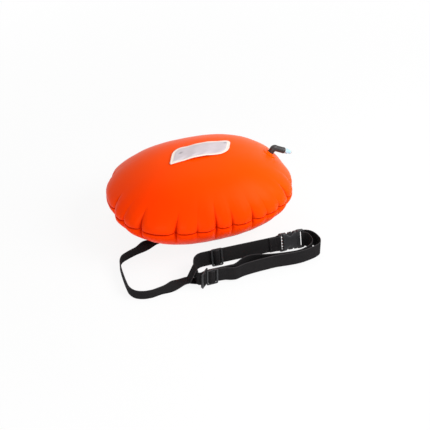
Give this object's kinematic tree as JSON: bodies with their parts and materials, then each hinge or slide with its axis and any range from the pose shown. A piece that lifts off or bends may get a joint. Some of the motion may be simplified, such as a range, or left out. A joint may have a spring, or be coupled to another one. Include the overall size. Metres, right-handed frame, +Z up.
{
  "type": "open water swim buoy",
  "caption": "Inflated tow float with a carry handle and oral valve, on a webbing leash to an adjustable waist belt with a side-release buckle.",
  "frame": {"origin": "the middle of the flat under the float's belly, on the floor that the buoy lies on", "axes": "+Z up; +X along the float's length, towards the inflation valve; the belt lies on the floor on the -Y side"},
  "size_m": [0.4827, 0.4073, 0.2168],
  "materials": {
    "float_vinyl": "satin welded vinyl-coated sheet",
    "handle_vinyl": "soft translucent vinyl",
    "webbing": "woven flat webbing",
    "black_plastic": "moulded acetal, satin",
    "valve_rubber": "smooth rubber",
    "nozzle_plastic": "moulded, satin",
    "sleeve_plastic": "moulded, satin",
    "spring_steel": "drawn wire"
  },
  "bodies": {
    "root": {"upper_panel": "float_vinyl", "lower_panel": "float_vinyl", "handle_patch": "float_vinyl", "carry_handle": "handle_vinyl", "valve_flange": "float_vinyl", "valve_tube": "valve_rubber", "valve_insert": "sleeve_plastic", "valve_spring": "spring_steel", "anchor_patch": "float_vinyl", "anchor_tab": "webbing", "leash_anchor_loop": "webbing", "leash": "webbing", "leash_belt_loop": "webbing", "belt_back_strap": "webbing", "corner_slider": "black_plastic", "buckle_socket": "black_plastic"},
    "back_slider": {"rear_slider": "black_plastic", "rear_slider_wrap": "webbing"},
    "plug": {"buckle_plug": "black_plastic", "belt_front_strap": "webbing", "front_slider": "black_plastic"},
    "upper_prong": {"buckle_prong_upper": "black_plastic"},
    "lower_prong": {"buckle_prong_lower": "black_plastic"},
    "nozzle": {"valve_nozzle": "nozzle_plastic"},
    "plunger": {"valve_plunger": "sleeve_plastic", "valve_seal": "valve_rubber"}
  },
  "joints": [
    {"name": "back_slider_slide", "type": "slide", "parent": "root", "child": "back_slider", "axis": [1, 0, 0], "range_m": [-0.02, 0.085]},
    {"name": "buckle_pull", "type": "slide", "parent": "root", "child": "plug", "axis": [1, 0, 0], "range_m": [0, 0.035], "deforming": ["buckle_prong_upper", "buckle_prong_lower"]},
    {"name": "upper_prong_press", "type": "hinge", "parent": "plug", "child": "upper_prong", "pos_m": [0.1905, -0.15922, 0.03777], "axis": [0, -0.9659, 0.2588], "range_deg": [0, 7], "stiffness_Nm_per_rad": 0.4},
    {"name": "lower_prong_press", "type": "hinge", "parent": "plug", "child": "lower_prong", "pos_m": [0.1905, -0.16678, 0.00956], "axis": [0, 0.9659, -0.2588], "range_deg": [0, 7], "stiffness_Nm_per_rad": 0.4},
    {"name": "nozzle_twist", "type": "hinge", "parent": "root", "child": "nozzle", "pos_m": [0.22109, 0.01201, 0.16186], "axis": [0.8909, -0.0118, -0.454], "range_deg": [0, 90]},
    {"name": "plunger_press", "type": "slide", "parent": "root", "child": "plunger", "axis": [-0.8909, 0.0118, 0.454], "range_m": [0, 0.0026], "stiffness_N_per_m": 300, "deforming": ["valve_spring"]}
  ]
}
